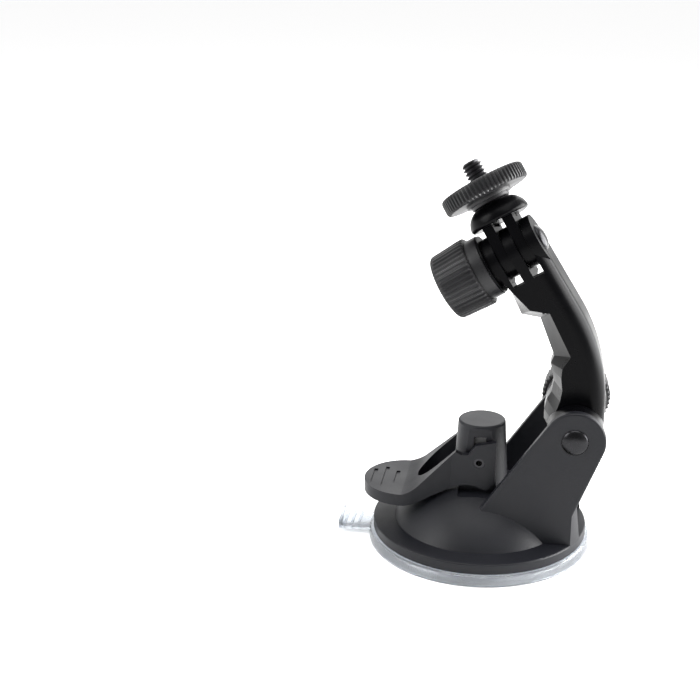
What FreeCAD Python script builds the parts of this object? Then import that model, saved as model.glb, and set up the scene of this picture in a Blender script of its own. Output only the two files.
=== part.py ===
"""Windscreen suction mount for a small camera: lever cup, yoke, curved arm, tilting head, 1/4 inch stud.

Millimetres, +Z up.  The origin is on the cup's axis, in the plane that the cup seals against.
The yoke and the arm are on the +X side, the lever and the pull tab on the -X side.
"""
import FreeCAD, Part
import math
import os
import Sketcher

DOC = FreeCAD.newDocument("suction_mount")
V = FreeCAD.Vector

SIZES = {
    # cup housing: flange, dome and post
    "flange_rad": 35.0, "flange_low": 3.6, "flange_top": 7.1, "flange_round": 0.5,
    "dome_rad": 27.85, "dome_ball": 33.35, "dome_mid": -11.25, "dome_wall": 3.4,
    "post_low_rad": 8.9, "post_top_rad": 7.7, "post_top": 41.8, "post_edge": 0.8, "post_cap": 39.9,
    "stem_bore": 4.8, "flat_half": 6.9, "flat_long": 6.5, "flat_end": 12.9,
    "flat_low": 19.1, "flat_high": 40.5, "slot_half": 2.0, "slot_low": 24.4, "slot_high": 37.9,
    # yoke ears
    "pivot_x": 29.9, "pivot_z": 42.6, "ear_rad": 9.6, "ear_out": 17.5, "ear_thick": 2.8,
    "ear_round": 0.7, "ear_foot_left": 1.3, "ear_foot_z": 17.6, "ear_foot_right": 30.2, "ear_knee_z": 16.6,
    "rim_wall": 2.6, "rim_wall_end": 11.5, "rim_wall_top": 18.4, "rim_draft": 1.3,
    # suction pad, insert and stem
    "pad_rad": 36.5, "pad_edge": 1.2, "pad_shoulder": 35.6, "pad_seat": 28.2, "pad_hub": 13.0,
    "hub_floor": 5.2, "hub_seat": 7.0, "hub_top": 9.2, "lip_in": 34.2, "web_low_rad": 26.0, "web_low": 1.2,
    "web_top_rad": 24.6, "web_step": 7.4, "insert_rad": 11.0, "insert_top": 9.0,
    "dimple_ring": 8.6, "dimple_rad": 0.8, "dimple_deep": 1.1,
    "stem_rad": 4.7, "stem_foot_rad": 8.0, "stem_foot_top": 10.5, "stem_top": 34.6,
    "spring_in": 5.1, "spring_out": 6.6, "spring_top": 17.2, "screw_head": 2.8, "screw_rad": 1.5,
    "screw_long": 8.0, "tab_width": 12.0, "tab_end": 46.5, "tab_thick": 1.2, "tab_low": 1.2,
    "tab_overlap": 2.0, "rib_wide": 0.9, "rib_tall": 0.8, "rib_pitch": 2.4, "lip_wide": 1.0, "lip_tall": 3.2,
    # lever and its pin
    "pin_z": 29.9, "pin_rad": 1.6, "pin_bore": 1.0, "pin_half": 9.4, "lever_in": 7.4, "lever_out": 9.6,
    "lever_nose": 7.0, "lever_neck": -9.0, "eye_x": -13.2, "groove_wide": 1.3, "groove_deep": 0.4,
    "paddle_rad": 13.9, "paddle_x": -24.5, "paddle_top": 19.0, "paddle_low": 15.1,
    # arm, with its barrel on the base pivot and its fork on the upper pivot
    "barrel_rad": 8.9, "arm_half": 8.0, "arm_wall": 1.6, "arm_floor": 3.0, "up_x": 8.8, "up_z": 98.5,
    "up_tilt": 32.0, "finger_rad": 8.0, "layer": 3.45, "layer_gap": 0.15, "slot_floor": 8.6,
    "foot_flare": 1.3, "foot_inset": 1.0, "rib_end": 20.0,
    "bend_rad": 60.0, "lean_in": 8.3, "outer_fillet": 5.0, "draft_end": 2.0, "rib_high": 7.0,
    # bolts, nuts, washers and knobs of both pivots
    "bolt_rad": 3.0, "bolt_bore": 3.05, "bolt_past": 15.0, "head_rad": 4.2, "head_high": 1.5,
    "head_flat": 1.6, "head_brim": 0.35, "washer_rad": 8.2,
    "washer_thick": 0.5, "knob_rad": 11.4, "knob_end_rad": 10.8, "knob_long": 12.2, "collar_rad": 10.0,
    "collar_long": 4.0, "nut_flats": 10.0, "nut_high": 5.0, "nut_depth": 1.5, "knob_gap": 0.1,
    # head, stud and thumbwheel, along the stud's axis from the upper pivot
    "head_lean": 15.5, "plate_end": 7.2, "plate_half": 7.2, "cap_low": 10.3, "cap_wide": 11.6,
    "cap_top": 16.2, "cap_rad": 9.7, "cap_neck": 6.2, "stud_rad": 3.175, "stud_low": 12.2,
    "stud_top": 31.0, "stud_tip": 0.7, "stud_neck": 2.6, "stud_step": 24.1, "stud_head": 5.6,
    "hub_low": 16.4, "wheel_low": 18.8, "wheel_top": 24.0, "wheel_rad": 13.9, "wheel_hub": 6.9,
    "wheel_bore": 3.25, "wheel_edge": 0.4,
}


def make_sheet():
    """The driving dimensions, one alias per row."""
    sheet = DOC.addObject("Spreadsheet::Sheet", "sizes")
    for row, (alias, value) in enumerate(SIZES.items(), start=1):
        sheet.set(f"A{row}", alias)
        sheet.set(f"B{row}", str(value))
        sheet.setAlias(f"B{row}", alias)
    DOC.recompute()
    return sheet


SHEET = make_sheet()
PARTS = []
FAR = 60.0       # reaches past every edge that a cutting tool has to clear
CLEAR = 1.0      # how far a cutting tool stands out past the faces that it cuts


def size(alias):
    """A driving dimension's value."""
    return float(SHEET.get(alias))


def bound(text):
    """An expression with every alias pointed at the sheet."""
    words = text.replace("(", " ( ").replace(")", " ) ").split()
    return " ".join(f"sizes.{word}" if word in SIZES else word for word in words)


def number(text):
    """The value of such an expression, for a sketch's first guess."""
    probe = DOC.getObject("probe") or DOC.addObject("App::FeaturePython", "probe")
    if "value" not in probe.PropertiesList:
        probe.addProperty("App::PropertyFloat", "value")
    probe.setExpression("value", bound(text))
    probe.recompute()
    return probe.value


def keep(item, label):
    """Label a finished sub-part and put it on the list to export."""
    item.Label = label
    PARTS.append(item)
    return item


def place(item, rotation=None, at=(0, 0, 0)):
    """Put an item in the model's frame."""
    item.Placement = FreeCAD.Placement(V(*at), rotation or FreeCAD.Rotation())
    return item


def body(name):
    """A new PartDesign body."""
    return DOC.addObject("PartDesign::Body", name)


def plane(owner, role):
    """One of a body's own origin planes."""
    return next(item for item in owner.Origin.OriginFeatures if item.Role == role)


def outline(owner, name, role, points, arcs=None):
    """A closed sketch through points, whose coordinates are expressions of the sheet.

    arcs maps the number of a side to the point that its arc passes through on the way.
    """
    arcs = arcs or {}
    sketch = owner.newObject("Sketcher::SketchObject", name)
    sketch.AttachmentSupport = [(plane(owner, role), "")]
    sketch.MapMode = "FlatFace"
    corners = [V(number(across), number(up), 0) for across, up in points]
    for side, start in enumerate(corners):
        end = corners[(side + 1) % len(corners)]
        if side in arcs:
            sketch.addGeometry(Part.Arc(start, V(*arcs[side], 0), end))
        else:
            sketch.addGeometry(Part.LineSegment(start, end))
    DOC.recompute()
    ends = {}
    for side in range(len(corners)):
        curve = sketch.Geometry[side]
        forward = (curve.StartPoint - corners[side]).Length < 1e-4
        ends[side] = (1, 2) if forward else (2, 1)
    for side in range(len(corners)):
        after = (side + 1) % len(corners)
        sketch.addConstraint(Sketcher.Constraint("Coincident", side, ends[side][1], after, ends[after][0]))
    for side, (across, up) in enumerate(points):
        for kind, text in (("DistanceX", across), ("DistanceY", up)):
            value = corners[side].x if kind == "DistanceX" else corners[side].y
            index = sketch.addConstraint(Sketcher.Constraint(kind, -1, 1, side, ends[side][0], value))
            sketch.setExpression(f"Constraints[{index}]", bound(text))
    for side in arcs:
        index = sketch.addConstraint(Sketcher.Constraint("Radius", side, sketch.Geometry[side].Radius))
        sketch.renameConstraint(index, f"arc_{side}")
    DOC.recompute()
    return sketch


def turned(owner, name, points, arcs=None, cut=False):
    """A profile in the XZ plane turned about the Z axis, as a solid or as a groove."""
    sketch = outline(owner, name + "_profile", "XZ_Plane", points, arcs)
    feature = owner.newObject("PartDesign::Groove" if cut else "PartDesign::Revolution", name)
    feature.Profile = sketch
    feature.ReferenceAxis = (sketch, ["V_Axis"])
    feature.Angle = 360
    DOC.recompute()
    return feature


def turned_part(label, points, arcs=None, rotation=None, at=(0, 0, 0)):
    """A sub-part that is one turned profile."""
    owner = body(label + "_body")
    turned(owner, label + "_turned", points, arcs)
    return keep(place(owner, rotation, at), label)


def solid(name, kind, **sizes):
    """A Part primitive whose sizes are expressions of the sheet."""
    item = DOC.addObject(f"Part::{kind}", name)
    for field, text in sizes.items():
        item.setExpression(field, bound(text))
    return item


def joined(name, *items):
    """Several items fused into one feature."""
    feature = DOC.addObject("Part::MultiFuse", name)
    feature.Shapes = list(items)
    return feature


def less(name, base, tool):
    """One item with another cut away."""
    feature = DOC.addObject("Part::Cut", name)
    feature.Base = base
    feature.Tool = tool
    return feature


def wire_face(points, arcs=None):
    """A face in the XZ plane through points, with arcs through a mid point on the named sides."""
    arcs = arcs or {}
    edges = []
    for side, (across, up) in enumerate(points):
        start = V(across, 0, up)
        end_across, end_up = points[(side + 1) % len(points)]
        end = V(end_across, 0, end_up)
        if side in arcs:
            edges.append(Part.Arc(start, V(arcs[side][0], 0, arcs[side][1]), end).toShape())
        else:
            edges.append(Part.makeLine(start, end))
    return Part.Face(Part.Wire(edges))


def slab(points, low, high, arcs=None):
    """An XZ outline as a solid from Y low to Y high."""
    shape = wire_face(points, arcs)
    shape.translate(V(0, low, 0))
    return shape.extrude(V(0, high - low, 0))


def block(across, along, up):
    """A box from its (low, high) pairs along X, Y and Z."""
    spans = [high - low for low, high in (across, along, up)]
    return Part.makeBox(*spans, V(across[0], along[0], up[0]))


def drum(radius, low, high, at, axis=V(0, 1, 0)):
    """A cylinder from low to high along an axis through a point."""
    return Part.makeCylinder(radius, high - low, at + axis * low, axis)


def feature(label, shape, rotation=None, at=(0, 0, 0)):
    """A finished shape as a sub-part."""
    item = DOC.addObject("Part::Feature", label + "_solid")
    item.Shape = shape.removeSplitter()
    return keep(place(item, rotation, at), label)


# --- cup ---------------------------------------------------------------------------------------


def ball_height(radius, ball):
    """Height of the dome's sphere above the sealing plane at a distance from the axis."""
    return size("dome_mid") + math.sqrt(ball ** 2 - radius ** 2)


def turned_shape(points, arcs=None):
    """A profile turned about the Z axis, as a bare shape."""
    return wire_face(points, arcs).revolve(V(0, 0, 0), V(0, 0, 1), 360)


ROUND_MID = 1 - math.sqrt(0.5)     # how far a quarter round's middle lies inside its corner


def housing_outside():
    """Flange, dome and post as one turned solid."""
    ball = size("dome_ball")
    low_rad = size("post_low_rad")
    top = size("post_top")
    edge = size("post_edge")
    soft = size("flange_round")
    points = [
        (0, size("flange_low")), (size("flange_rad") - soft, size("flange_low")),
        (size("flange_rad"), size("flange_low") + soft), (size("flange_rad"), size("flange_top") - soft),
        (size("flange_rad") - soft, size("flange_top")), (size("dome_rad"), size("flange_top")),
        (low_rad, ball_height(low_rad, ball)), (size("post_top_rad"), top - edge),
        (size("post_top_rad") - edge, top), (0, top),
    ]
    mid = 0.5 * (size("dome_rad") + low_rad)
    rim = size("flange_rad") - ROUND_MID * soft
    shoulder = (size("post_top_rad") - ROUND_MID * edge, top - ROUND_MID * edge)
    arcs = {
        1: (rim, size("flange_low") + ROUND_MID * soft), 3: (rim, size("flange_top") - ROUND_MID * soft),
        5: (mid, ball_height(mid, ball)), 7: shoulder,
    }
    return turned_shape(points, arcs)


def housing_inside():
    """The room under the dome and the stem's bore up the post."""
    ball = size("dome_ball") - size("dome_wall")
    low = size("flange_low") - CLEAR
    bore = size("stem_bore")
    wide = math.sqrt(ball ** 2 - (low - size("dome_mid")) ** 2)
    cap = size("post_cap")
    points = [(0, low), (wide, low), (bore, ball_height(bore, ball)), (bore, cap), (0, cap)]
    mid = 0.5 * (wide + bore)
    return turned_shape(points, {1: (mid, ball_height(mid, ball))})


def ear(side):
    """One yoke ear: round at the pivot, straight sides down to the dome and to the flange's rim."""
    pivot = V(size("pivot_x"), 0, size("pivot_z"))
    left = tangent_foot(pivot, size("ear_rad"), V(size("ear_foot_left"), 0, size("ear_foot_z")), 1)
    right = tangent_foot(pivot, size("ear_rad"), V(size("ear_foot_right"), 0, size("ear_knee_z")), -1)
    low = size("flange_low")
    points = [
        (size("ear_foot_left"), low), (size("ear_foot_right"), low),
        (size("ear_foot_right"), size("ear_knee_z")), (right.x, right.z), (left.x, left.z),
        (size("ear_foot_left"), size("ear_foot_z")),
    ]
    crown = (pivot.x, pivot.z + size("ear_rad"))
    inner = size("ear_out") - size("ear_thick")
    low_y, high_y = sorted((side * inner, side * size("ear_out")))
    plate = slab(points, low_y, high_y, {3: crown})
    for across, radius in ((size("ear_out"), size("ear_round")), (inner, size("ear_round") / 2)):
        top = V(crown[0], side * across, crown[1])
        plate = plate.makeFillet(radius, edges_near(plate, [top]))
    return plate


def tangent_foot(centre, radius, outside, turn):
    """Where a straight line from a point touches a circle, on the side that turn chooses."""
    gap = centre - outside
    reach = math.hypot(gap.x, gap.z)
    swing = turn * math.asin(radius / reach)
    heading = math.atan2(gap.z, gap.x) + swing
    run = math.sqrt(reach ** 2 - radius ** 2)
    return outside + V(math.cos(heading), 0, math.sin(heading)) * run


def rim_wall(side):
    """The short wall that turns inwards from an ear's foot along the flange's rim."""
    foot = size("flange_top") - size("flange_round")
    high = size("rim_wall_top") - foot
    base = V(0, 0, foot)
    top_rad = size("flange_rad") - size("rim_draft")
    ring = Part.makeCone(size("flange_rad"), top_rad, high, base)
    wall = size("rim_wall")
    ring = ring.cut(Part.makeCone(size("flange_rad") - wall, top_rad - wall, high, base))
    low_y, high_y = sorted((side * size("rim_wall_end"), side * size("ear_out")))
    window = Part.makeBox(FAR, high_y - low_y, high + 2 * CLEAR, V(0, low_y, foot - CLEAR))
    return ring.common(window)


def cup_housing():
    """Flange, dome and slotted post with the yoke's two ears, moulded in one."""
    shape = housing_outside()
    for side in (-1, 1):
        shape = shape.fuse([ear(side), rim_wall(side)])
    shape = shape.cut(housing_inside())
    pivot = V(size("pivot_x"), 0, size("pivot_z"))
    reach = size("ear_out") + CLEAR
    shape = shape.cut(drum(size("bolt_bore"), -reach, reach, pivot))
    half = size("flat_half")
    end = size("flat_end")
    wide = size("flat_long")
    up = (size("flat_low"), size("flat_high"))
    for near, far in ((-end, -half), (half, end)):
        shape = shape.cut(block((-wide, wide), (near, far), up))
    slot_half = size("slot_half")
    slot = block((-slot_half, slot_half), (-end, end), (size("slot_low"), size("slot_high")))
    return feature("cup_housing", shape.cut(slot))


def suction_pad():
    """Clear disc with a sealing lip, a raised membrane, a hub for the insert and a pull tab."""
    outer = size("pad_rad")
    hub = size("pad_hub")
    points = [
        (0, size("hub_floor")), (hub - 1, size("hub_floor")), (size("web_low_rad"), size("web_low")),
        (size("lip_in"), 0), (outer, 0), (outer, size("pad_edge")),
        (size("pad_shoulder"), size("flange_low")), (size("pad_seat"), size("flange_low")),
        (size("web_top_rad"), size("flange_low") - 0.3), (hub + 1, size("web_step")),
        (hub, size("hub_top")), (size("insert_rad"), size("hub_top")), (size("insert_rad"), size("hub_seat")),
        (0, size("hub_seat")),
    ]
    shape = turned_shape(points)
    half = size("tab_width") / 2
    end = -size("tab_end")
    low = size("tab_low")
    top = low + size("tab_thick")
    pieces = [
        block((end, size("tab_overlap") - outer), (-half, half), (low, top)),
        block((end, end + size("lip_wide")), (-half, half), (low, low + size("lip_tall"))),
    ]
    for index in range(3):
        start = end + 1.5 + index * size("rib_pitch")
        across = (start, start + size("rib_wide"))
        pieces.append(block(across, (1 - half, half - 1), (top, top + size("rib_tall"))))
    return feature("suction_pad", shape.fuse(pieces))


def pad_insert():
    """Disc in the pad's hub that spreads the stem's pull, with a ring of dimples and a screw hole."""
    disc = solid("insert_disc", "Cylinder", Radius="insert_rad - 0.02", Height="insert_top - hub_seat")
    place(disc, at=(0, 0, size("hub_seat")))
    hole = solid("insert_hole", "Cylinder", Radius="screw_head + 0.02", Height="insert_top - hub_seat")
    place(hole, at=(0, 0, size("hub_seat")))
    dimples = []
    for index in range(12):
        angle = math.radians(30 * index)
        dimple = DOC.addObject("Part::Cylinder", f"dimple_{index}")
        dimple.setExpression("Radius", bound("dimple_rad"))
        dimple.setExpression("Height", bound("dimple_deep"))
        ring = size("dimple_ring")
        dimples.append(place(dimple, at=(ring * math.cos(angle), ring * math.sin(angle), size("hub_seat"))))
    keep(less("insert_cut", disc, joined("insert_tools", hole, *dimples)), "pad_insert")


def pull_stem():
    """Round stem with a foot on the insert, cross-bored for the lever's pin."""
    low = size("insert_top")
    seat = V(0, 0, low)
    foot = Part.makeCylinder(size("stem_foot_rad"), size("stem_foot_top") - low, seat)
    shape = foot.fuse(Part.makeCylinder(size("stem_rad"), size("stem_top") - low, seat))
    reach = size("stem_foot_rad") + CLEAR
    shape = shape.cut(drum(size("pin_rad"), -reach, reach, V(0, 0, size("pin_z"))))
    shape = shape.cut(Part.makeCylinder(size("screw_rad"), size("screw_long"), seat))
    feature("pull_stem", shape)


def stem_screw():
    """Pan-head screw that holds the insert to the stem."""
    head = solid("screw_pan", "Cylinder", Radius="screw_head", Height="insert_top - hub_seat")
    place(head, at=(0, 0, size("hub_seat")))
    shank = solid("screw_shank", "Cylinder", Radius="screw_rad", Height="screw_long")
    place(shank, at=(0, 0, size("insert_top")))
    keep(joined("screw_join", head, shank), "stem_screw")


def release_spring():
    """Envelope of the compression spring between the stem's foot and the dome."""
    outer = solid("spring_outer", "Cylinder", Radius="spring_out", Height="spring_top - stem_foot_top")
    inner = solid("spring_inner", "Cylinder", Radius="spring_in", Height="spring_top - stem_foot_top")
    for item in (outer, inner):
        place(item, at=(0, 0, size("stem_foot_top")))
    keep(less("spring_cut", outer, inner), "release_spring")


def lever_pin():
    """Roll pin through the stem, the post's slots and the lever's ears."""
    turn = FreeCAD.Rotation(V(1, 0, 0), -90)
    at = (0, -size("pin_half"), size("pin_z"))
    outer = place(solid("pin_outer", "Cylinder", Radius="pin_rad", Height="2 * pin_half"), turn, at)
    inner = place(solid("pin_inner", "Cylinder", Radius="pin_bore", Height="2 * pin_half"), turn, at)
    keep(less("pin_cut", outer, inner), "lever_pin")


def lever_side_view():
    """Outline of the lever in the XZ plane, and its three arcs."""
    top = size("paddle_top")
    low = size("paddle_low")
    tip = size("paddle_x") - size("paddle_rad") - CLEAR
    ears = [(5.3, 23.4), (5.3, 37.4), (-1.2, 35.9), (-3.4, 32.6), (-5.6, 32.4), (-7.6, 33.4)]
    ramp = [(-19.0, 22.2), (-24.6, top), (tip, top), (tip, low), (-24.0, low), (-15.6, 18.0)]
    underside = [(-8.5, 20.9), (-1.0, 21.9), (2.6, 20.4)]
    return ears + ramp + underside, {6: (-22.4, 19.8), 10: (-19.6, 16.2), 12: (-4.8, 22.1)}


def lever_plan():
    """Top view of the lever as a tall block: straight arms from the nose to the round paddle."""
    wide = size("lever_out")
    middle = size("paddle_x")
    radius = size("paddle_rad")
    touch = math.radians(76)
    meet = V(middle + radius * math.cos(touch), radius * math.sin(touch), 0)
    meet_far = V(meet.x, -meet.y, 0)
    neck = size("lever_neck")
    nose = size("lever_nose")
    sides = [V(neck, -wide, 0), V(nose, -wide, 0), V(nose, wide, 0), V(neck, wide, 0), meet]
    edges = [Part.makeLine(start, end) for start, end in zip(sides, sides[1:])]
    edges.append(Part.Arc(meet, V(middle - radius, 0, 0), meet_far).toShape())
    edges.append(Part.makeLine(meet_far, sides[0]))
    return Part.Face(Part.Wire(edges)).extrude(V(0, 0, FAR))


def lever():
    """Forked lever: two ears on the pin, an oval opening round the post and a thumb paddle."""
    points, arcs = lever_side_view()
    shape = slab(points, -size("paddle_rad"), size("paddle_rad"), arcs).common(lever_plan())
    room = size("lever_in")
    eye = size("eye_x")
    shape = shape.cut(block((eye, FAR), (-room, room), (0, FAR)))
    shape = shape.cut(Part.makeCylinder(room, FAR, V(eye, 0, 0)))
    shape = shape.cut(drum(size("pin_rad") + 0.06, -FAR, FAR, V(0, 0, size("pin_z"))))
    top = size("paddle_top")
    half = size("groove_wide") / 2
    for across, reach in ((-35.2, 5.2), (-31.5, 7.2), (-27.6, 4.6)):
        floor = top - size("groove_deep")
        shape = shape.cut(block((across - half, across + half), (-reach, reach), (floor, top + CLEAR)))
    feature("lever", shape)


# --- base pivot --------------------------------------------------------------------------------


def bolt_profile(grip, length):
    """Half section of a domed bolt: head under the grip face, shank up from it."""
    return [
        ("0", f"-1 * {grip} - head_high"), ("head_flat", f"-1 * {grip} - head_high * 0.92"),
        ("head_rad", f"-1 * {grip} - head_brim"), ("head_rad", f"-1 * {grip}"), ("bolt_rad", f"-1 * {grip}"),
        ("bolt_rad", length), ("0", length),
    ]


def knob(label, face, rotation, at):
    """Clamping knob: collar towards the pivot, grip tapering outwards, nut pocket in the end."""
    low = f"{face} + knob_gap + washer_thick"
    mid = f"{low} + collar_long"
    top = f"{mid} + knob_long"
    owner = body(label + "_body")
    turned(owner, label + "_turned", [
        ("bolt_bore", low), ("collar_rad", low), ("collar_rad", mid), ("knob_rad", mid),
        ("knob_end_rad", f"{top} - 0.8"), ("knob_end_rad - 0.8", top), ("bolt_bore", top),
    ])
    hexagon = outline(owner, label + "_hexagon", "XY_Plane", hex_points("nut_flats + 0.2"))
    hexagon.AttachmentOffset = FreeCAD.Placement(V(0, 0, number(top)), FreeCAD.Rotation())
    pocket = owner.newObject("PartDesign::Pocket", label + "_pocket")
    pocket.Profile = hexagon
    pocket.setExpression("Length", bound("nut_high + nut_depth"))
    DOC.recompute()
    return keep(place(owner, rotation, at), label)


def hex_points(flats):
    """Corners of a hexagon, as expressions, for a width across its flats."""
    ratio = 1 / math.sqrt(3)
    corners = []
    for index in range(6):
        angle = math.radians(60 * index)
        across = ratio * math.cos(angle)
        up = ratio * math.sin(angle)
        corners.append((f"( {flats} ) * {across:.6f}", f"( {flats} ) * {up:.6f}"))
    return corners


def nut(label, face, rotation, at):
    """Hexagon nut in the knob's pocket, on the bolt's thread."""
    top = f"{face} + knob_gap + washer_thick + collar_long + knob_long - nut_depth"
    owner = body(label + "_body")
    sketch = outline(owner, label + "_outline", "XY_Plane", hex_points("nut_flats"))
    sketch.AttachmentOffset = FreeCAD.Placement(V(0, 0, number(top)), FreeCAD.Rotation())
    pad = owner.newObject("PartDesign::Pad", label + "_pad")
    pad.Profile = sketch
    pad.Reversed = True
    pad.setExpression("Length", bound("nut_high"))
    DOC.recompute()
    turned(owner, label + "_bore", [
        ("0", f"{top} - nut_high - 1"), ("bolt_bore", f"{top} - nut_high - 1"),
        ("bolt_bore", f"{top} + 1"), ("0", f"{top} + 1"),
    ], cut=True)
    return keep(place(owner, rotation, at), label)


def washer(label, low, high, rotation, at, radius="washer_rad"):
    """A flat ring on one of the bolts."""
    return turned_part(label, [("bolt_bore", low), (radius, low), (radius, high), ("bolt_bore", high)],
                       rotation=rotation, at=at)


def base_pivot():
    """Bolt along Y through ears and barrel, head on the -Y side, knob on the +Y side."""
    turn = FreeCAD.Rotation(V(1, 0, 0), -90)
    at = (size("pivot_x"), 0, size("pivot_z"))
    turned_part("base_bolt", bolt_profile("ear_out", "ear_out + bolt_past"), rotation=turn, at=at)
    washer("base_knob_washer", "ear_out + 0.05", "ear_out + washer_thick", turn, at, "collar_rad - 0.3")
    knob("base_knob", "ear_out", turn, at)
    nut("base_nut", "ear_out", turn, at)
    inner = "ear_out - ear_thick"
    washer("barrel_washer_near", f"0.05 - ( {inner} )", f"washer_thick - ( {inner} )", turn, at)
    washer("barrel_washer_far", f"{inner} - washer_thick", f"{inner} - 0.05", turn, at)


# --- arm ---------------------------------------------------------------------------------------


def fork_point(along, across):
    """A point of the XZ plane: along the arm from the upper pivot, and across towards the knob."""
    tilt = math.radians(size("up_tilt"))
    x = size("up_x") + along * math.sin(tilt) - across * math.cos(tilt)
    z = size("up_z") - along * math.cos(tilt) - across * math.sin(tilt)
    return x, z


def arm_outline(inset=0.0):
    """Side view of the arm, its corners in order, and its arcs; inset leaves a wall all round."""
    half = size("layer") * 2.5
    tilt = math.radians(size("up_tilt"))
    outer_x = size("pivot_x") + size("barrel_rad")
    start = fork_point(0, -half)
    corner_run = (outer_x - start[0]) / math.sin(tilt)
    corner_z = start[1] - corner_run * math.cos(tilt)
    bend = size("bend_rad")
    reach = bend * math.tan(tilt / 2)
    bend_top = fork_point(corner_run - reach, -half + inset)
    bend_low = (outer_x - inset, corner_z - reach)
    centre = (outer_x - bend, corner_z - reach)
    mid = (centre[0] + (bend - inset) * math.cos(tilt / 2), centre[1] + (bend - inset) * math.sin(tilt / 2))
    foot = (size("pivot_x") - size("barrel_rad") - size("foot_flare") + inset, size("pivot_z"))
    inner = [(x + inset * dx, z + inset * dz) for x, z, dx, dz in ARM_BACK]
    points = [
        fork_point(0, -half + inset), bend_top, bend_low, (outer_x - inset, foot[1] + inset),
        (foot[0], foot[1] + inset), *inner, fork_point(0, size("lean_in") - inset),
    ]
    return points, {1: mid}


# Cup side of the arm from foot to fork: X, Z, and the way a wall's inner face moves for its thickness.
ARM_BACK = [
    (19.7, 45.7, 1, 0), (20.4, 49.2, 1, 0), (21.7, 51.8, 1, 0), (22.3, 55.6, 1, 0), (21.5, 59.2, 1, 0),
    (21.0, 61.4, 1, 0), (22.0, 64.0, 1.1, 0.5), (17.1, 76.4, 1.2, 1), (11.1, 77.3, 1, 1),
    (7.4, 84.8, 0.85, 0.53),
]
ARM_FRONT = [
    (22.4, 45.5, 1, 0), (23.3, 48.3, 1, 0), (24.6, 52.2, 1, 0), (25.1, 55.8, 1, 0), (24.6, 60.0, 1, 0),
    (24.8, 63.0, 1, 0), (27.2, 67.1, 1.1, 0.5), (20.1, 80.9, 1.2, 1), (14.0, 81.6, 1, 1),
    (8.0, 87.4, 0.85, 0.53),
]


def drafted_side(inset=0.0):
    """A block that keeps the arm's outer part: its cup side slopes from the closed face to draft_end."""
    wires = []
    foot_x = size("pivot_x") - size("barrel_rad") + inset
    levels = (
        (-size("arm_half"), ARM_FRONT, foot_x + size("foot_inset")),
        (size("draft_end"), ARM_BACK, foot_x - size("foot_flare")),
    )
    lean = size("lean_in") - inset
    for across, rows, left in levels:
        inner = [(x + inset * dx, z + inset * dz) for x, z, dx, dz in rows]
        corners = [(left, 0), (left, size("pivot_z")), *inner, fork_point(0, lean), fork_point(-FAR, lean),
                   (FAR, 3 * FAR), (FAR, 0)]
        loop = [V(x, across, z) for x, z in corners]
        wires.append(Part.makePolygon(loop + loop[:1]))
    return Part.makeLoft(wires, True, True)


def arm():
    """Curved hollow arm: closed on -Y, open on +Y, barrel below and a three-finger fork above."""
    half = size("arm_half")
    points, arcs = arm_outline()
    shape = softened(slab(points, -half, half, arcs), half)
    closed_part = block((-2 * FAR, 2 * FAR), (-half, size("draft_end")), (-FAR, 3 * FAR))
    shape = shape.cut(closed_part.cut(drafted_side()))
    pivot = V(size("pivot_x"), 0, size("pivot_z"))
    top = V(size("up_x"), 0, size("up_z"))
    tilt = math.radians(size("up_tilt"))
    towards_knob = V(-math.cos(tilt), 0, -math.sin(tilt))
    stack = size("layer") * 2.5 - size("layer_gap") / 2
    shape = shape.fuse(drum(size("finger_rad"), -stack, stack, top, towards_knob))
    points, arcs = arm_outline(size("arm_wall"))
    hollow = slab(points, size("arm_floor") - half, half + 1, arcs)
    hollow = hollow.cut(closed_part.cut(drafted_side(size("arm_wall"))))
    shape = shape.cut(hollow.cut(drum(size("finger_rad") + 0.5, -20, 20, top, towards_knob)))
    barrel_half = size("ear_out") - size("ear_thick") - size("washer_thick") - 0.05
    shape = shape.fuse(drum(size("barrel_rad"), -barrel_half, barrel_half, pivot))
    shape = shape.fuse(middle_finger(half))
    shape = shape.cut(fork_slots())
    shape = shape.cut(drum(size("bolt_bore"), -barrel_half - 1, barrel_half + 1, pivot))
    shape = shape.cut(drum(size("bolt_bore"), -stack - 1, stack + 1, top, towards_knob))
    feature("arm", shape)


def edges_near(shape, points):
    """The edges of a shape that pass nearest to the given points."""
    found = []
    for point in points:
        vertex = Part.Vertex(point)
        found.append(min(shape.Edges, key=lambda edge: edge.distToShape(vertex)[0]))
    return found


def softened(shape, half):
    """Round the long outer edge of the arm's closed side."""
    across, up = arm_outline()[1][1]
    return shape.makeFillet(size("outer_fillet"), edges_near(shape, [V(across, -half, up)]))


def middle_finger(half):
    """The fork's middle finger, and the low rib that carries it down into the arm's hollow."""
    wide = size("layer") / 2 - size("layer_gap") / 2
    root = size("slot_floor") + size("arm_wall")
    finger = [fork_point(0, -wide), fork_point(root, -wide), fork_point(root, wide), fork_point(0, wide)]
    end = size("rib_end")
    rib = [fork_point(0, -wide), fork_point(end, -wide), fork_point(end, wide), fork_point(0, wide)]
    return slab(finger, -half, half - 0.5).fuse(slab(rib, -half, size("rib_high") - half))


def fork_slots():
    """The two slots that the head's plates turn in."""
    cuts = []
    for side in (-1, 1):
        inner = size("layer") / 2 - size("layer_gap") / 2
        outer = size("layer") * 1.5 + size("layer_gap") / 2
        floor = size("slot_floor")
        ends = [fork_point(-FAR, side * inner), fork_point(floor, side * inner),
                fork_point(floor, side * outer), fork_point(-FAR, side * outer)]
        cuts.append(slab(ends, -FAR, FAR))
    return cuts[0].fuse(cuts[1])


# --- upper pivot and head ----------------------------------------------------------------------


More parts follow.
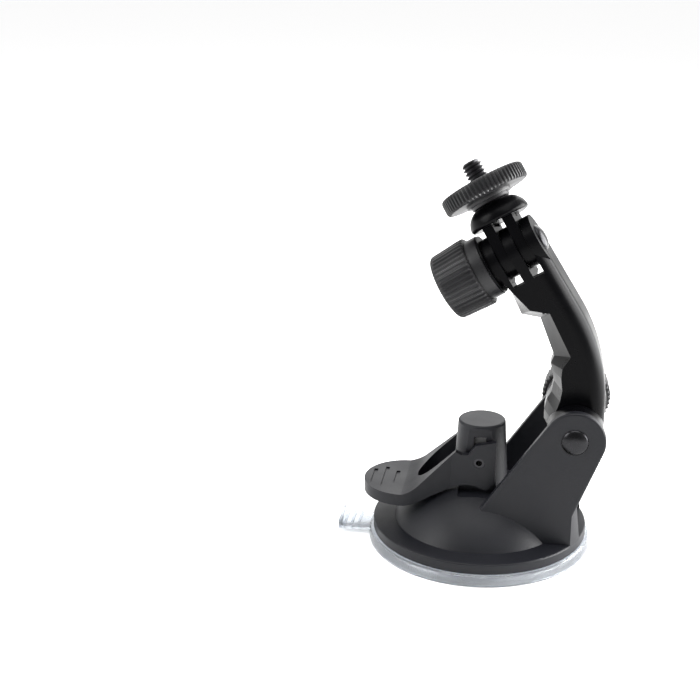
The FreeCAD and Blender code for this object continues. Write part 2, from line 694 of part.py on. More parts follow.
def upper_pivot():
    """Bolt through the fork, its head outside, the knob on the side of the cup."""
    towards_knob = FreeCAD.Rotation(V(0, 0, 1), V(*knob_axis()))
    at = (size("up_x"), 0, size("up_z"))
    stack = "layer * 2.5"
    turned_part("upper_bolt", bolt_profile(stack, f"{stack} + bolt_past"), rotation=towards_knob, at=at)
    washer("upper_knob_washer", f"{stack} + 0.05", f"{stack} + washer_thick", towards_knob, at,
           "collar_rad - 0.3")
    knob("upper_knob", stack, towards_knob, at)
    nut("upper_nut", stack, towards_knob, at)


def knob_axis():
    """The upper bolt's direction, from the arm's outside towards the knob."""
    tilt = math.radians(size("up_tilt"))
    return (-math.cos(tilt), 0, -math.sin(tilt))


def head_turn():
    """Head frame: X along the upper bolt away from the knob, Z along the stud, leaning towards +Y."""
    swing = FreeCAD.Rotation(V(0, 1, 0), -size("up_tilt"))
    return swing.multiply(FreeCAD.Rotation(V(1, 0, 0), -size("head_lean")))


def mount_head():
    """Two plates on the upper bolt that carry a mushroom-shaped cap for the stud."""
    rad = size("cap_rad")
    brim = (rad - 0.2, size("cap_low") + 0.35)
    crown = (rad - 0.9, size("cap_wide") + 2.4)
    cap = turned_shape([
        (0, size("cap_low")), (rad - 1.2, size("cap_low")), (rad, size("cap_wide")),
        (size("cap_neck"), size("cap_top")), (0, size("cap_top")),
    ], {1: brim, 2: crown})
    shapes = [cap]
    thick = size("layer") - size("layer_gap")
    for side in (-1, 1):
        middle = side * size("layer")
        low = V(middle - thick / 2, 0, 0)
        plate = Part.makeCylinder(size("plate_end"), thick, low, V(1, 0, 0))
        plate = plate.fuse(Part.makeBox(thick, 2 * size("plate_half"), size("cap_low") + 1.5,
                                        V(middle - thick / 2, -size("plate_half"), 0)))
        shapes.append(plate)
    shape = shapes[0].fuse(shapes[1:])
    shape = shape.cut(Part.makeCylinder(size("bolt_bore"), 20, V(-10, 0, 0), V(1, 0, 0)))
    shape = shape.cut(Part.makeCylinder(size("stud_neck"), 20, V(0, 0, size("cap_low") - 1)))
    flats = 2 * size("stud_head") * math.cos(math.pi / 6)
    pocket = hexagon_shape(flats, size("cap_low") - CLEAR, size("stud_low"))
    return feature("mount_head", shape.cut(pocket), head_turn(), (size("up_x"), 0, size("up_z")))


def hexagon_shape(flats, low, high):
    """A hexagonal prism on the Z axis."""
    radius = flats / math.sqrt(3)
    turns = [math.radians(60 * index) for index in range(7)]
    corners = [V(radius * math.cos(turn), radius * math.sin(turn), low) for turn in turns]
    return Part.Face(Part.makePolygon(corners)).extrude(V(0, 0, high - low))


def camera_stud():
    """1/4 inch screw moulded into the cap, its hexagon head in the pocket below."""
    head = hexagon_shape(2 * size("stud_head") * math.cos(math.pi / 6), size("cap_low"), size("stud_low"))
    chamfer = size("stud_tip")
    shank = turned_shape([
        (0, size("cap_low")), (size("stud_neck"), size("cap_low")), (size("stud_neck"), size("stud_step")),
        (size("stud_rad"), size("stud_step")), (size("stud_rad"), size("stud_top") - chamfer),
        (size("stud_rad") - chamfer, size("stud_top")), (0, size("stud_top")),
    ])
    return feature("camera_stud", head.fuse(shank), head_turn(), (size("up_x"), 0, size("up_z")))


def thumbwheel():
    """Locking wheel on the stud: ribbed rim above, stepped hub below."""
    turned_part("thumbwheel", [
        ("wheel_bore", "hub_low"), ("wheel_hub - 0.7", "hub_low"), ("wheel_hub", "wheel_low - 1.2"),
        ("wheel_hub", "wheel_low"), ("wheel_rad - wheel_edge", "wheel_low"),
        ("wheel_rad", "wheel_low + wheel_edge"), ("wheel_rad", "wheel_top - wheel_edge"),
        ("wheel_rad - wheel_edge", "wheel_top"), ("wheel_bore", "wheel_top"),
    ], rotation=head_turn(), at=(size("up_x"), 0, size("up_z")))


def build():
    """Make every sub-part, from the cup up to the thumbwheel."""
    cup_housing()
    suction_pad()
    pad_insert()
    pull_stem()
    stem_screw()
    release_spring()
    lever_pin()
    lever()
    base_pivot()
    arm()
    upper_pivot()
    mount_head()
    camera_stud()
    thumbwheel()
    DOC.recompute()


def export():
    """Check every object and every sub-part, then write one STEP file for each."""
    for item in DOC.Objects:
        if "Invalid" in item.State or "Error" in item.State:
            raise RuntimeError(f"{item.Name} failed: {item.State}")
    os.makedirs("parts", exist_ok=True)
    for item in PARTS:
        shape = item.Shape
        if shape.isNull() or not shape.isValid() or len(shape.Solids) != 1:
            raise RuntimeError(f"{item.Label} is not one valid solid: {len(shape.Solids)}")
        shape.exportStep(f"parts/{item.Label}.step")
        print(f"{item.Label}: {shape.Volume:.0f} mm3")


build()
export()
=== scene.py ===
import math

import bmesh
import bpy
from mathutils import Matrix, Vector


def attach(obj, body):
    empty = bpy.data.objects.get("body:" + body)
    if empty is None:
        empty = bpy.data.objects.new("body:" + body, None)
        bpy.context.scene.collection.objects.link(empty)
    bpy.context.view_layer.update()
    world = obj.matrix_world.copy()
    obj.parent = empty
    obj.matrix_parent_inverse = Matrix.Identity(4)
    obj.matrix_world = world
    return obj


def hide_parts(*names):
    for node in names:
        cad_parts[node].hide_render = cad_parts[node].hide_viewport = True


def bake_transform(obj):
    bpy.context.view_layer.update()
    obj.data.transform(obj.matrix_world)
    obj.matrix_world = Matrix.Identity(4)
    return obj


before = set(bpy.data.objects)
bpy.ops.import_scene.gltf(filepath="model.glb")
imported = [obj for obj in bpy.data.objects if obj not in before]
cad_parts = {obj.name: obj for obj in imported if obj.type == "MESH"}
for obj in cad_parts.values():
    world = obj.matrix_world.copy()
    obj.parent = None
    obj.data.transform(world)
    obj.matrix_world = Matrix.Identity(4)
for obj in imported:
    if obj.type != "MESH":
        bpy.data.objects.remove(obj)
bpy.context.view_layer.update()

bpy.ops.object.select_all(action="DESELECT")


# Studio: a pale sheet under the mount, soft light from the left, the right and overhead, and two lamps
# behind that edge the arm with light and graze the flat tops. The camera stands a little to the right
# of the cup's axis and looks down by about 20 degrees.
bpy.ops.object.camera_add(
    location=(0.0240, -0.4120, 0.2106),
    rotation=(math.radians(70.5), 0, math.radians(9.3)),
)
camera = bpy.context.object
camera.data.sensor_width = 36
camera.data.lens = 70.25
camera.data.clip_start = 0.01
camera.data.clip_end = 20
bpy.context.scene.camera = camera

bpy.ops.mesh.primitive_plane_add(size=8, location=(0, 0, -0.0001))
floor = bpy.context.object
floor.name = "studio_floor"
paper = bpy.data.materials.new("studio_paper")
paper.use_nodes = True
paper_shader = paper.node_tree.nodes["Principled BSDF"]
paper_shader.inputs["Base Color"].default_value = (0.92, 0.92, 0.92, 1)
paper_shader.inputs["Roughness"].default_value = 0.8
paper_shader.inputs["Specular IOR Level"].default_value = 0.1
paper_shader.inputs["Emission Color"].default_value = (1, 1, 1, 1)
paper_shader.inputs["Emission Strength"].default_value = 0.22
floor.data.materials.append(paper)

air = bpy.data.worlds.new("studio_air")
bpy.context.scene.world = air
air.use_nodes = True
air_nodes = air.node_tree.nodes
air_links = air.node_tree.links
air_place = air_nodes.new("ShaderNodeTexCoord")
air_split = air_nodes.new("ShaderNodeSeparateXYZ")
air_links.new(air_place.outputs["Generated"], air_split.inputs["Vector"])
air_depth = air_nodes.new("ShaderNodeMapRange")
air_depth.inputs["From Min"].default_value = -0.9
air_depth.inputs["From Max"].default_value = 0.3
air_depth.inputs["To Min"].default_value = 0.35
air_depth.inputs["To Max"].default_value = 1.0
air_links.new(air_split.outputs["Y"], air_depth.inputs["Value"])
air_links.new(air_depth.outputs["Result"], air_nodes["Background"].inputs["Strength"])
air_nodes["Background"].inputs["Color"].default_value = (1, 1, 1, 1)
bpy.context.scene.view_settings.view_transform = "Standard"

# Each lamp's name, place, aim, width and watts.
studio_lamps = (
    ("window_left", (-0.50, -0.22, 0.34), (0.0, 0.0, 0.06), 0.34, 2.4),
    ("strip_right", (0.50, -0.04, 0.16), (0.03, 0.0, 0.08), 0.26, 3.0),
    ("edge_right", (0.46, 0.20, 0.18), (0.03, 0.0, 0.07), 0.40, 6.0),
    ("graze_back", (0.0, 0.60, 0.36), (0.0, 0.0, 0.04), 0.50, 1.4),
    ("overhead", (0.0, -0.05, 0.62), (0.0, 0.0, 0.05), 0.50, 2.4),
)
for lamp_name, spot, aim, width, watts in studio_lamps:
    bpy.ops.object.light_add(type="AREA", location=spot)
    lamp = bpy.context.object
    lamp.name = lamp_name
    lamp.data.shape = "SQUARE"
    lamp.data.size = width
    lamp.data.energy = watts
    lamp.rotation_euler = (Vector(aim) - Vector(spot)).to_track_quat("-Z", "Y").to_euler()


# Cup housing, lever, stem and insert: injection-moulded charcoal ABS with a matt spark-eroded texture.
# They come from the frame as they are and get their finish here. The recipe takes the colour, the
# gloss and the size of the mould's grain, so that the shinier arm and the knobs can use it too.
def moulded_plastic(name, colour, roughness, grain_scale, grain_depth, shine=0.5):
    """Moulded plastic: slow drift of colour, patchy gloss, and the fine grain of the mould."""
    material = bpy.data.materials.new(name)
    material.use_nodes = True
    nodes = material.node_tree.nodes
    links = material.node_tree.links
    shader = nodes["Principled BSDF"]
    shader.inputs["Specular IOR Level"].default_value = shine
    place = nodes.new("ShaderNodeTexCoord")

    drift = nodes.new("ShaderNodeTexNoise")
    drift.inputs["Scale"].default_value = 90
    drift.inputs["Detail"].default_value = 4
    links.new(place.outputs["Object"], drift.inputs["Vector"])
    tint = nodes.new("ShaderNodeMix")
    tint.data_type = "RGBA"
    tint.inputs["A"].default_value = (*[0.75 * part for part in colour], 1)
    tint.inputs["B"].default_value = (*[1.25 * part for part in colour], 1)
    links.new(drift.outputs["Fac"], tint.inputs["Factor"])
    links.new(tint.outputs["Result"], shader.inputs["Base Color"])

    patch = nodes.new("ShaderNodeMapRange")
    patch.inputs["From Min"].default_value = 0.3
    patch.inputs["From Max"].default_value = 0.7
    patch.inputs["To Min"].default_value = roughness - 0.05
    patch.inputs["To Max"].default_value = roughness + 0.05
    links.new(drift.outputs["Fac"], patch.inputs["Value"])
    links.new(patch.outputs["Result"], shader.inputs["Roughness"])

    grain = nodes.new("ShaderNodeTexNoise")
    grain.inputs["Scale"].default_value = grain_scale
    grain.inputs["Detail"].default_value = 3
    links.new(place.outputs["Object"], grain.inputs["Vector"])
    bump = nodes.new("ShaderNodeBump")
    bump.inputs["Strength"].default_value = 0.5
    bump.inputs["Distance"].default_value = grain_depth
    links.new(grain.outputs["Fac"], bump.inputs["Height"])
    links.new(bump.outputs["Normal"], shader.inputs["Normal"])
    return material


def refinish(material, *names):
    """Give parts that come from the frame their finish."""
    for name in names:
        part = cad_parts[name]
        part.data.materials.clear()
        part.data.materials.append(material)


charcoal_abs = moulded_plastic(
    "charcoal_abs", (0.0062, 0.0066, 0.0090), roughness=0.46, grain_scale=2200, grain_depth=0.00005,
    shine=0.25,
)
refinish(charcoal_abs, "cup_housing", "lever", "pad_insert", "pull_stem")


# Arm, mushroom head and washers: glass-filled nylon from a polished mould, so nearly black and shinier
# than the cup, with a faint orange-peel.
black_nylon = moulded_plastic(
    "black_nylon", (0.0016, 0.0016, 0.0020), roughness=0.30, grain_scale=700, grain_depth=0.00003,
    shine=0.06,
)
refinish(black_nylon, "arm", "mount_head", "barrel_washer_near", "barrel_washer_far",
         "base_knob_washer", "upper_knob_washer")


# Suction pad: soft clear PVC, moulded in one. A thick rim lies under the flange and seals on the glass.
# The crowned web inside it rises to a hub that the stem draws up, and a pull tab with an upturned
# ribbed end sticks out on the lever's side.
MM = 0.001
WELD = 0.002 * MM        # points closer than this are one point


def lathe(name, stations, sides, closed=False):
    """Turn a piece ring by ring, through (radius, height) stations in millimetres.

    A closed piece joins its last ring to its first. An open one has a flat face at each end.
    """
    bpy.ops.object.select_all(action="DESELECT")
    radius, height = stations[0]
    bpy.ops.mesh.primitive_circle_add(vertices=sides, radius=radius * MM, location=(0, 0, height * MM))
    piece = bpy.context.object
    piece.name = name
    bpy.ops.object.transform_apply()
    bpy.ops.object.mode_set(mode="EDIT")
    bpy.ops.mesh.select_all(action="SELECT")
    if not closed:
        bpy.ops.mesh.edge_face_add()
    for next_radius, next_height in stations[1:] + (stations[:1] if closed else []):
        rise = (next_height - height) * MM
        bpy.ops.mesh.extrude_region_move(TRANSFORM_OT_translate={"value": (0, 0, rise)})
        ratio = next_radius / radius
        bpy.ops.transform.resize(value=(ratio, ratio, 1), center_override=(0, 0, next_height * MM))
        radius, height = next_radius, next_height
    bpy.ops.mesh.select_all(action="SELECT")
    bpy.ops.mesh.remove_doubles(threshold=WELD)
    bpy.ops.mesh.normals_make_consistent(inside=False)
    bpy.ops.object.mode_set(mode="OBJECT")
    return piece


def finish(piece, material, body, replaced=(), smooth=35):
    """Smooth a piece, give it its material, and set it on its body."""
    bpy.ops.object.select_all(action="DESELECT")
    piece.select_set(True)
    bpy.context.view_layer.objects.active = piece
    bpy.ops.object.shade_smooth_by_angle(angle=math.radians(smooth))
    piece.data.materials.clear()
    piece.data.materials.append(material)
    if body:
        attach(piece, body)
    if replaced:
        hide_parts(*replaced)


clear_pvc = bpy.data.materials.new("clear_pvc")
clear_pvc.use_nodes = True
pvc_nodes = clear_pvc.node_tree.nodes
pvc_links = clear_pvc.node_tree.links
pvc_shader = pvc_nodes["Principled BSDF"]
pvc_shader.inputs["Base Color"].default_value = (0.84, 0.88, 0.93, 1)
pvc_shader.inputs["Transmission Weight"].default_value = 0.9
pvc_shader.inputs["IOR"].default_value = 1.45
pvc_place = pvc_nodes.new("ShaderNodeTexCoord")
pvc_cloud = pvc_nodes.new("ShaderNodeTexNoise")
pvc_cloud.inputs["Scale"].default_value = 160
pvc_cloud.inputs["Detail"].default_value = 3
pvc_links.new(pvc_place.outputs["Object"], pvc_cloud.inputs["Vector"])
pvc_gloss = pvc_nodes.new("ShaderNodeMapRange")
pvc_gloss.inputs["To Min"].default_value = 0.04
pvc_gloss.inputs["To Max"].default_value = 0.22
pvc_links.new(pvc_cloud.outputs["Fac"], pvc_gloss.inputs["Value"])
pvc_links.new(pvc_gloss.outputs["Result"], pvc_shader.inputs["Roughness"])
pvc_bump = pvc_nodes.new("ShaderNodeBump")
pvc_bump.inputs["Strength"].default_value = 0.25
pvc_bump.inputs["Distance"].default_value = 0.04 * MM
pvc_links.new(pvc_cloud.outputs["Fac"], pvc_bump.inputs["Height"])
pvc_links.new(pvc_bump.outputs["Normal"], pvc_shader.inputs["Normal"])

pad_rim = lathe("pad_rim", [
    (28.2, 3.58), (35.4, 3.58), (35.9, 3.2), (36.1, 2.5), (36.4, 1.5), (36.48, 0.8), (36.4, 0.15),
    (36.1, 0.0), (34.4, 0.0), (34.0, 0.12), (31.2, 0.45), (28.2, 0.9),
], 144, closed=True)
finish(pad_rim, clear_pvc, "housing", ["suction_pad"])

pad_web = lathe("pad_web", [
    (1.0, 5.2), (9.5, 5.2), (11.6, 5.1), (12.6, 4.85), (16.0, 3.9), (20.0, 2.75), (24.0, 1.7),
    (26.2, 1.2), (28.15, 0.9), (28.15, 3.5), (25.5, 3.35), (23.6, 3.75), (20.0, 5.1), (16.6, 6.4),
    (14.2, 7.3), (13.3, 8.0), (13.0, 9.15), (11.1, 9.15), (11.1, 6.96), (1.0, 6.96),
], 120)
finish(pad_web, clear_pvc, None, ["suction_pad"])
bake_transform(pad_web)

bpy.ops.object.select_all(action="DESELECT")
tab_middle = -41.0
tab_height = 1.8
tab_size = (10.9, 11.9, 1.2)
rib_foot = 1.6
bpy.ops.mesh.primitive_cube_add(size=1, location=(tab_middle * MM, 0, tab_height * MM))
pad_tab = bpy.context.object
pad_tab.name = "pad_tab"
pad_tab.scale = Vector(tab_size) * MM
bpy.ops.object.transform_apply()
bpy.ops.object.mode_set(mode="EDIT")
for rib_x, rib_thick, rib_reach, rib_high in (
    (-45.95, 1.0, 11.8, 2.75), (-44.5, 0.9, 10.0, 1.0), (-42.2, 0.9, 10.0, 1.0), (-39.9, 0.9, 10.0, 1.0),
):
    rib_middle = (rib_x * MM, 0, (rib_foot + rib_high / 2) * MM)
    bpy.ops.mesh.primitive_cube_add(size=1, location=rib_middle)
    bpy.ops.transform.resize(
        value=(rib_thick * MM, rib_reach * MM, (rib_high - 0.05) * MM), center_override=rib_middle,
    )
bpy.ops.object.mode_set(mode="OBJECT")
rounding = pad_tab.modifiers.new("soft_edges", "BEVEL")
rounding.width = 0.25 * MM
rounding.segments = 3
bpy.ops.object.modifier_apply(modifier="soft_edges")
finish(pad_tab, clear_pvc, "housing")


# Screw in the pad's hub: a zinc-plated pan head with a cross recess, driven up into the stem.
# It shows bright through the clear hub from below.
def plated_steel(name, colour, roughness):
    """Plated steel: brushed gloss that varies, with a faint cloudy tint."""
    material = bpy.data.materials.new(name)
    material.use_nodes = True
    nodes = material.node_tree.nodes
    links = material.node_tree.links
    shader = nodes["Principled BSDF"]
    shader.inputs["Metallic"].default_value = 1.0
    place = nodes.new("ShaderNodeTexCoord")
    cloud = nodes.new("ShaderNodeTexNoise")
    cloud.inputs["Scale"].default_value = 420
    cloud.inputs["Detail"].default_value = 5
    links.new(place.outputs["Object"], cloud.inputs["Vector"])
    tint = nodes.new("ShaderNodeMix")
    tint.data_type = "RGBA"
    tint.inputs["A"].default_value = (*[0.7 * part for part in colour], 1)
    tint.inputs["B"].default_value = (*colour, 1)
    links.new(cloud.outputs["Fac"], tint.inputs["Factor"])
    links.new(tint.outputs["Result"], shader.inputs["Base Color"])
    gloss = nodes.new("ShaderNodeMapRange")
    gloss.inputs["To Min"].default_value = roughness - 0.1
    gloss.inputs["To Max"].default_value = roughness + 0.12
    links.new(cloud.outputs["Fac"], gloss.inputs["Value"])
    links.new(gloss.outputs["Result"], shader.inputs["Roughness"])
    return material


zinc_steel = plated_steel("zinc_steel", (0.72, 0.72, 0.70), roughness=0.32)
black_oxide = plated_steel("black_oxide", (0.045, 0.045, 0.048), roughness=0.38)
refinish(black_oxide, "lever_pin")

stem_screw = lathe("stem_screw_cross", [
    (1.2, 7.02), (2.2, 7.12), (2.65, 7.45), (2.75, 7.9), (2.75, 8.95), (1.45, 8.97), (1.45, 16.9),
], 48)
recess_middle = 7.2
recess_size = (3.4, 0.75, 1.7)
for turn in (45, 135):
    bpy.ops.object.select_all(action="DESELECT")
    bpy.ops.mesh.primitive_cube_add(
        size=1, location=(0, 0, recess_middle * MM), rotation=(0, 0, math.radians(turn)),
    )
    cutter = bpy.context.object
    cutter.scale = Vector(recess_size) * MM
    bpy.ops.object.transform_apply()
    bpy.context.view_layer.objects.active = stem_screw
    recess = stem_screw.modifiers.new("recess", "BOOLEAN")
    recess.operation = "DIFFERENCE"
    recess.solver = "EXACT"
    recess.object = cutter
    bpy.ops.object.modifier_apply(modifier="recess")
    bpy.data.objects.remove(cutter)
finish(stem_screw, zinc_steel, "stem", ["stem_screw"])


# Release spring: hard-drawn steel wire coiled round the stem between its foot and the dome. It pushes
# the hub down when the lever is lifted.
bpy.ops.object.select_all(action="DESELECT")
wire_radius = 0.5
coil_radius = 5.85
coil_start = 11.1
coil_pitch = 1.36
bpy.ops.mesh.primitive_circle_add(
    vertices=12, radius=wire_radius * MM, rotation=(math.radians(90), 0, 0),
    location=(coil_radius * MM, 0, coil_start * MM),
)
spring = bpy.context.object
spring.name = "release_spring_coil"
bpy.ops.object.transform_apply()
coil = spring.modifiers.new("coil", "SCREW")
coil.axis = "Z"
coil.steps = 40
coil.render_steps = 40
coil.iterations = 4
coil.screw_offset = coil_pitch * MM
bpy.ops.object.modifier_apply(modifier="coil")
bpy.ops.object.mode_set(mode="EDIT")
bpy.ops.mesh.select_all(action="SELECT")
bpy.ops.mesh.remove_doubles(threshold=WELD)
bpy.ops.mesh.select_all(action="DESELECT")
bpy.ops.mesh.select_non_manifold()
bpy.ops.mesh.fill_holes(sides=0)
bpy.ops.mesh.select_all(action="SELECT")
bpy.ops.mesh.normals_make_consistent(inside=False)
bpy.ops.object.mode_set(mode="OBJECT")
finish(spring, zinc_steel, None, ["release_spring"], smooth=60)
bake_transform(spring)


# Clamping knobs: moulded nylon with 42 flat-topped ridges along a slightly tapered grip, a plain collar
# towards the pivot, and a hexagonal pocket in the end for the nut. Both pivots have the same knob.
knob_nylon = moulded_plastic(
    "knob_nylon", (0.009, 0.009, 0.010), roughness=0.42, grain_scale=1500, grain_depth=0.00004,
    shine=0.35,
)


def select_where(piece, test):
    """Select just the points of the active piece, in edit mode, that pass a test."""
    mesh = bmesh.from_edit_mesh(piece.data)
    for vertex in mesh.verts:
        vertex.select_set(bool(test(vertex.co)))
    mesh.select_flush(False)
    bmesh.update_edit_mesh(piece.data)


def flute(piece, sides, depth_ratio, low, high, least_radius):
    """Press grooves into every second pair of a turned piece's lengthwise lines."""
    bpy.context.view_layer.objects.active = piece
    bpy.ops.object.mode_set(mode="EDIT")

    def in_groove(point):
        line = round(math.atan2(point.y, point.x) / (2 * math.pi) * sides) % 4
        far_out = math.hypot(point.x, point.y) > least_radius * MM
        return line in (2, 3) and far_out and low * MM < point.z < high * MM

    select_where(piece, in_groove)
    bpy.ops.transform.resize(value=(depth_ratio, depth_ratio, 1), center_override=(0, 0, 0))
    bpy.ops.object.mode_set(mode="OBJECT")


def fit_on(piece, turn, origin):
    """Put a piece that was made along Z in its place, and leave its object at the origin."""
    bpy.ops.object.select_all(action="DESELECT")
    piece.select_set(True)
    bpy.context.view_layer.objects.active = piece
    piece.matrix_world = Matrix.Translation(origin) @ turn.to_matrix().to_4x4()
    bpy.ops.object.transform_apply()


knob_sides = 168
pocket_radius = 6.2
pocket_flat = 5.1        # from the middle of the nut's pocket to one of its flats
first_knob = lathe("first_knob", [
    (3.1, 0.0), (9.5, 0.0), (9.9, 0.15), (10.0, 0.5), (10.0, 4.0), (10.6, 4.0), (11.15, 4.12),
    (11.4, 4.5), (11.32, 7.0), (11.1, 10.0), (10.86, 14.6), (10.7, 15.4), (10.2, 15.95), (9.4, 16.2),
    (6.6, 16.2), (pocket_radius, 15.9), (pocket_radius, 9.75), (3.1, 9.75),
], knob_sides, closed=True)
flute(first_knob, knob_sides, depth_ratio=0.958, low=4.05, high=15.7, least_radius=10.3)
for vertex in first_knob.data.vertices:
    reach = math.hypot(vertex.co.x, vertex.co.y)
    if abs(reach - pocket_radius * MM) < 0.3 * MM:
        angle = math.atan2(vertex.co.y, vertex.co.x)
        from_flat = (angle % math.radians(60)) - math.radians(30)
        on_hexagon = pocket_flat * MM / math.cos(from_flat)
        vertex.co.x = on_hexagon * math.cos(angle)
        vertex.co.y = on_hexagon * math.sin(angle)

base_pivot = Vector((0.0299, 0, 0.0426))
upper_pivot = Vector((0.0088, 0, 0.0985))
base_axis = Vector((0, 1, 0))
upper_axis = Vector((-0.8480481, 0, -0.5299193))
# Each knob's axis, its pivot, and how far from the pivot its collar starts.
knob_lines = {
    "base_knob": (base_axis, base_pivot, 18.1),
    "upper_knob": (upper_axis, upper_pivot, 9.225),
}
for node, (axis, pivot, gap) in knob_lines.items():
    knob = first_knob.copy()
    knob.data = first_knob.data.copy()
    knob.name = node + "_ridged"
    bpy.context.collection.objects.link(knob)
    fit_on(knob, Vector((0, 0, 1)).rotation_difference(axis), pivot + axis * gap * MM)
    finish(knob, knob_nylon, node, [node])
bpy.data.objects.remove(first_knob)


# Clamping bolts: black machine bolts with a low domed head, threaded where they leave the knob's nut.
# The thread is one flank swept along a helix, welded turn to turn and cut off flat.
def thread(name, crest, root, pitch, low, high, sides=36):
    """A screw thread along Z, in millimetres."""
    bpy.ops.object.select_all(action="DESELECT")
    bpy.ops.mesh.primitive_circle_add(vertices=6, radius=crest * MM)
    piece = bpy.context.object
    piece.name = name
    bpy.ops.object.mode_set(mode="EDIT")
    mesh = bmesh.from_edit_mesh(piece.data)
    mesh.verts.ensure_lookup_table()
    ends = {mesh.verts[0], mesh.verts[5]}
    closing = [edge for edge in mesh.edges if set(edge.verts) == ends]
    bmesh.ops.delete(mesh, geom=closing, context="EDGES_FACES")
    mesh.verts.ensure_lookup_table()
    flank = ((root, 0.0), (root, 0.10), (crest, 0.43), (crest, 0.57), (root, 0.90), (root, 1.0))
    for vertex, (radius, share) in zip(mesh.verts, flank):
        vertex.co = Vector((radius, 0, low - pitch + share * pitch)) * MM
    bmesh.update_edit_mesh(piece.data)
    bpy.ops.object.mode_set(mode="OBJECT")
    helix = piece.modifiers.new("helix", "SCREW")
    helix.axis = "Z"
    helix.steps = sides
    helix.render_steps = sides
    helix.iterations = math.ceil((high - low) / pitch) + 2
    helix.screw_offset = pitch * MM
    bpy.ops.object.modifier_apply(modifier="helix")
    bpy.ops.object.mode_set(mode="EDIT")
    bpy.ops.mesh.select_all(action="SELECT")
    bpy.ops.mesh.remove_doubles(threshold=WELD)
    for height, keep_above in ((low, True), (high, False)):
        bpy.ops.mesh.select_all(action="SELECT")
        bpy.ops.mesh.bisect(
            plane_co=(0, 0, height * MM), plane_no=(0, 0, 1), use_fill=True,
            clear_inner=keep_above, clear_outer=not keep_above,
        )
    bpy.ops.mesh.select_all(action="SELECT")
    bpy.ops.mesh.normals_make_consistent(inside=False)
    bpy.ops.object.mode_set(mode="OBJECT")
    tip = 0.8
    for vertex in piece.data.vertices:
        reach = math.hypot(vertex.co.x, vertex.co.y)
        allowed = (crest - max(0, vertex.co.z / MM - (high - tip))) * MM
        if reach > allowed:
            vertex.co.x *= allowed / reach
            vertex.co.y *= allowed / reach
    return piece


def welded(name, pieces):
    """Join pieces that are one solid in the real thing."""
    bpy.ops.object.select_all(action="DESELECT")
    for piece in pieces:
        piece.select_set(True)
    bpy.context.view_layer.objects.active = pieces[0]
    bpy.ops.object.join()
    pieces[0].name = name
    return pieces[0]


black_steel_gloss = plated_steel("black_steel_gloss", (0.03, 0.03, 0.032), roughness=0.26)
shank_past_grip = 15
thread_long = 6.0
# Each bolt's body, the distance from its pivot to its head, its axis and its pivot.
for node, body, grip, turn_axis, pivot in (
    ("base_bolt", "housing", 17.5, base_axis, base_pivot),
    ("upper_bolt", "arm", 8.625, upper_axis, upper_pivot),
):
    end = grip + shank_past_grip
    thread_start = end - thread_long
    head_and_shank = lathe(node + "_head", [
        (0.8, -grip - 1.5), (1.8, -grip - 1.4), (2.9, -grip - 1.08), (3.7, -grip - 0.62),
        (4.1, -grip - 0.3), (4.2, -grip - 0.05), (2.95, -grip - 0.02), (2.95, thread_start - 0.2),
        (2.4, thread_start + 0.2),
    ], 48)
    screwed = thread(node + "_thread", crest=2.95, root=2.45, pitch=1.0, low=thread_start, high=end)
    bolt = welded(node + "_black", [head_and_shank, screwed])
    fit_on(bolt, Vector((0, 0, 1)).rotation_difference(turn_axis), pivot)
    finish(bolt, black_steel_gloss, body, [node])


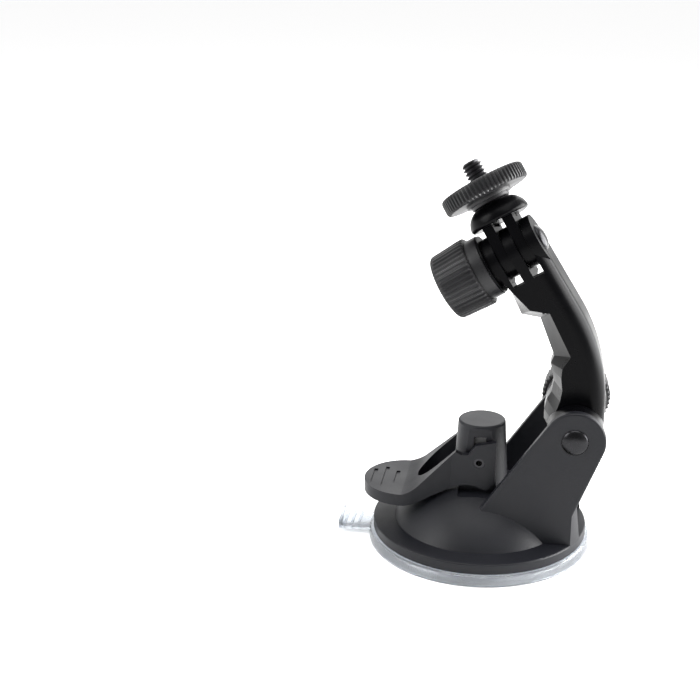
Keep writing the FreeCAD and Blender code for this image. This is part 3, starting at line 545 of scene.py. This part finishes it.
# Nuts: zinc-plated hexagon nuts pressed into the knobs' pockets, their corners rounded off by a cone.
nut_middle = (0, 0, 12.2 * MM)
nut_high = 4.98
nut_corner = 5.77
bore_radius = 3.05
drill_long = 8
cone_foot, cone_top = 12.9, 5.05
for node, (axis, pivot, gap) in knob_lines.items():
    bpy.ops.object.select_all(action="DESELECT")
    bpy.ops.mesh.primitive_cylinder_add(
        vertices=6, radius=nut_corner * MM, depth=nut_high * MM,
        location=nut_middle, rotation=(0, 0, math.radians(30)),
    )
    nut = bpy.context.object
    nut.name = node.replace("knob", "nut") + "_plated"
    bpy.ops.object.transform_apply()
    bpy.ops.mesh.primitive_cone_add(
        vertices=72, radius1=cone_foot * MM, radius2=cone_top * MM, depth=nut_high * MM,
        location=nut_middle,
    )
    cone = bpy.context.object
    bpy.ops.mesh.primitive_cylinder_add(
        vertices=48, radius=bore_radius * MM, depth=drill_long * MM, location=nut_middle,
    )
    drill = bpy.context.object
    bpy.context.view_layer.objects.active = nut
    for tool, operation in ((cone, "INTERSECT"), (drill, "DIFFERENCE")):
        cut = nut.modifiers.new("cut", "BOOLEAN")
        cut.operation = operation
        cut.solver = "EXACT"
        cut.object = tool
        bpy.ops.object.modifier_apply(modifier="cut")
        bpy.data.objects.remove(tool)
    fit_on(nut, Vector((0, 0, 1)).rotation_difference(axis), pivot + axis * gap * MM)
    finish(nut, zinc_steel, node, [node.replace("knob", "nut")])


# Camera stud: a blackened 1/4 inch screw, 20 threads to the inch, its hexagon head moulded into the cap.
# The locking wheel below the camera is nylon, with 64 fine ridges round its rim and a stepped hub.
fork_tilt = Matrix.Rotation(math.radians(-32), 3, "Y")
head_lean = Matrix.Rotation(math.radians(-15.5), 3, "X")
head_turn = (fork_tilt @ head_lean).to_quaternion()

inch = 25.4
stud_thread = thread("stud_thread", crest=inch / 8, root=2.5, pitch=inch / 20, low=15.0, high=30.98)
stud_head = lathe("stud_head", [(5.55, 10.35), (5.55, 12.15), (2.5, 12.18), (2.5, 15.2)], 6)
stud = welded("camera_stud_threaded", [stud_thread, stud_head])
fit_on(stud, head_turn, upper_pivot)
finish(stud, black_oxide, "head", ["camera_stud"])

wheel_sides = 256
wheel = lathe("thumbwheel_ridged", [
    (3.35, 16.45), (5.9, 16.45), (6.3, 16.8), (6.4, 17.7), (7.3, 17.7), (7.5, 18.0), (7.5, 18.8),
    (12.3, 18.8), (13.2, 18.85), (13.65, 19.15), (13.9, 19.7), (13.9, 21.4), (13.9, 23.1),
    (13.65, 23.65), (13.2, 23.95), (12.1, 24.0), (11.0, 24.0), (10.8, 23.7), (5.6, 23.7), (5.4, 24.0),
    (3.35, 24.0),
], wheel_sides, closed=True)
flute(wheel, wheel_sides, depth_ratio=0.968, low=18.82, high=23.97, least_radius=12.95)
fit_on(wheel, head_turn, upper_pivot)
finish(wheel, knob_nylon, "thumbwheel", ["thumbwheel"])
